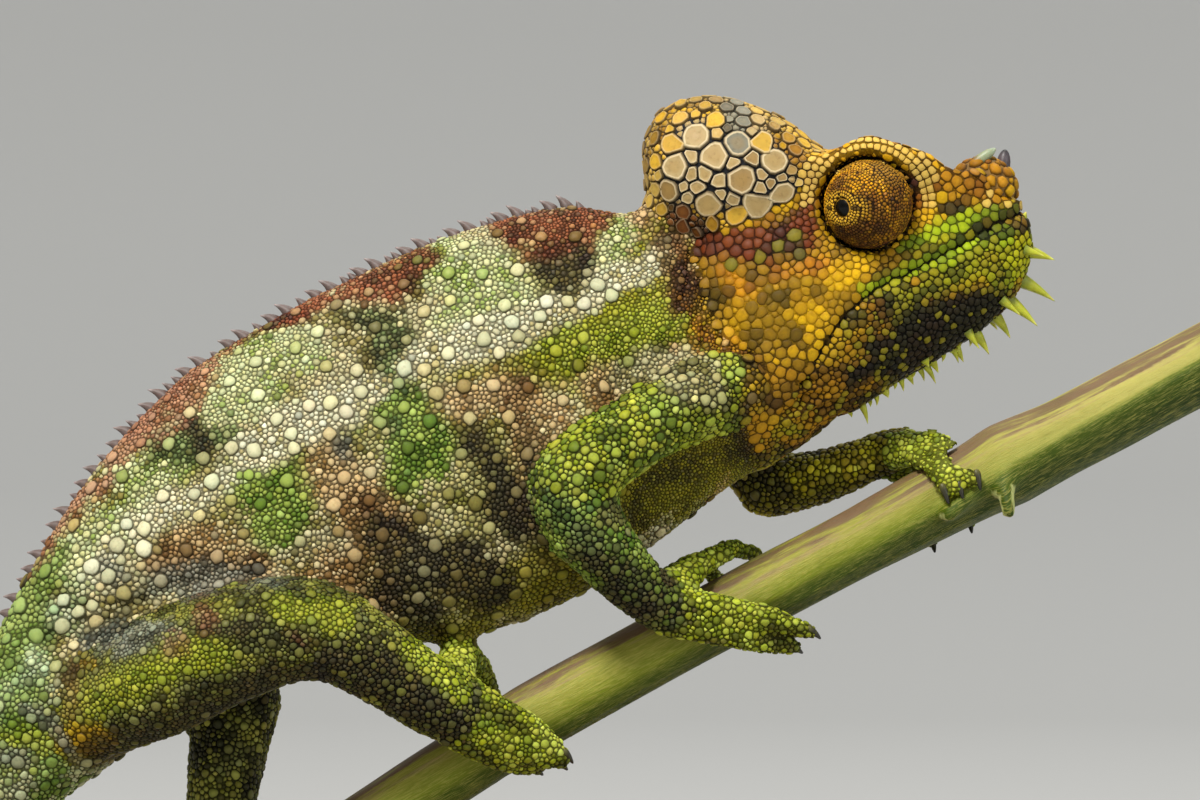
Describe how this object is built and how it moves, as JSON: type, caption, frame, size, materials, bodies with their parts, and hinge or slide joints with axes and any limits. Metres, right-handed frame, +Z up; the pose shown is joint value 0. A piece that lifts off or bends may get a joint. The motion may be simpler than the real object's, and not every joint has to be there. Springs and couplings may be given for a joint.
{
  "type": "chameleon",
  "caption": "Life-size grown male helmeted chameleon with a tall plated casque, climbing a cut plant stem held by a rod on a flat wooden display base.",
  "frame": {"origin": "centre of the display base's underside, where it rests on a table", "axes": "+X the way the animal faces, +Y its left side, +Z up; y = 0 is the middle plane of its trunk, tail and perch"},
  "size_m": [0.1252, 0.06, 0.1023],
  "materials": {
    "skin": "granular reptile scales, green, tan and rust marbling",
    "casque": "large flat rounded plates, gold and cream",
    "horn": "knobbly golden scales with dark tips",
    "eyelid": "finely ringed golden brown eyelid skin",
    "eye": "wet dark eye with a thin gold rim",
    "claw": "dark greenish horn",
    "stem": "fresh olive green plant stem, finely streaked",
    "base_wood": "satin dark walnut",
    "rod_brass": "satin brass"
  },
  "bodies": {
    "root": {"head": "skin", "jaw": "skin", "casque": "casque", "rostral_horn": "horn", "eye_turret_right": "eyelid", "eye_turret_left": "eyelid", "eye_right": "eye", "eye_left": "eye", "neck": "skin", "trunk": "skin", "tail_base": "skin", "tail_second": "skin", "tail_third": "skin", "tail_fourth": "skin", "tail_fifth": "skin", "tail_tip": "skin", "upper_arm_right": "skin", "forearm_right": "skin", "forefoot_right_outer": "skin", "forefoot_right_inner": "skin", "upper_arm_left": "skin", "forearm_left": "skin", "forefoot_left_outer": "skin", "forefoot_left_inner": "skin", "thigh_right": "skin", "shank_right": "skin", "hindfoot_right_outer": "skin", "hindfoot_right_inner": "skin", "thigh_left": "skin", "shank_left": "skin", "hindfoot_left_outer": "skin", "hindfoot_left_inner": "skin", "claw_fore_right_1": "claw", "claw_fore_right_2": "claw", "claw_fore_right_3": "claw", "claw_fore_right_4": "claw", "claw_fore_right_5": "claw", "claw_fore_left_1": "claw", "claw_fore_left_2": "claw", "claw_fore_left_3": "claw", "claw_fore_left_4": "claw", "claw_fore_left_5": "claw", "claw_hind_right_1": "claw", "claw_hind_right_2": "claw", "claw_hind_right_3": "claw", "claw_hind_right_4": "claw", "claw_hind_right_5": "claw", "claw_hind_left_1": "claw", "claw_hind_left_2": "claw", "claw_hind_left_3": "claw", "claw_hind_left_4": "claw", "claw_hind_left_5": "claw", "perch_stem": "stem", "stand_base": "base_wood", "stand_collar": "rod_brass", "stand_rod": "rod_brass"}
  },
  "joints": []
}
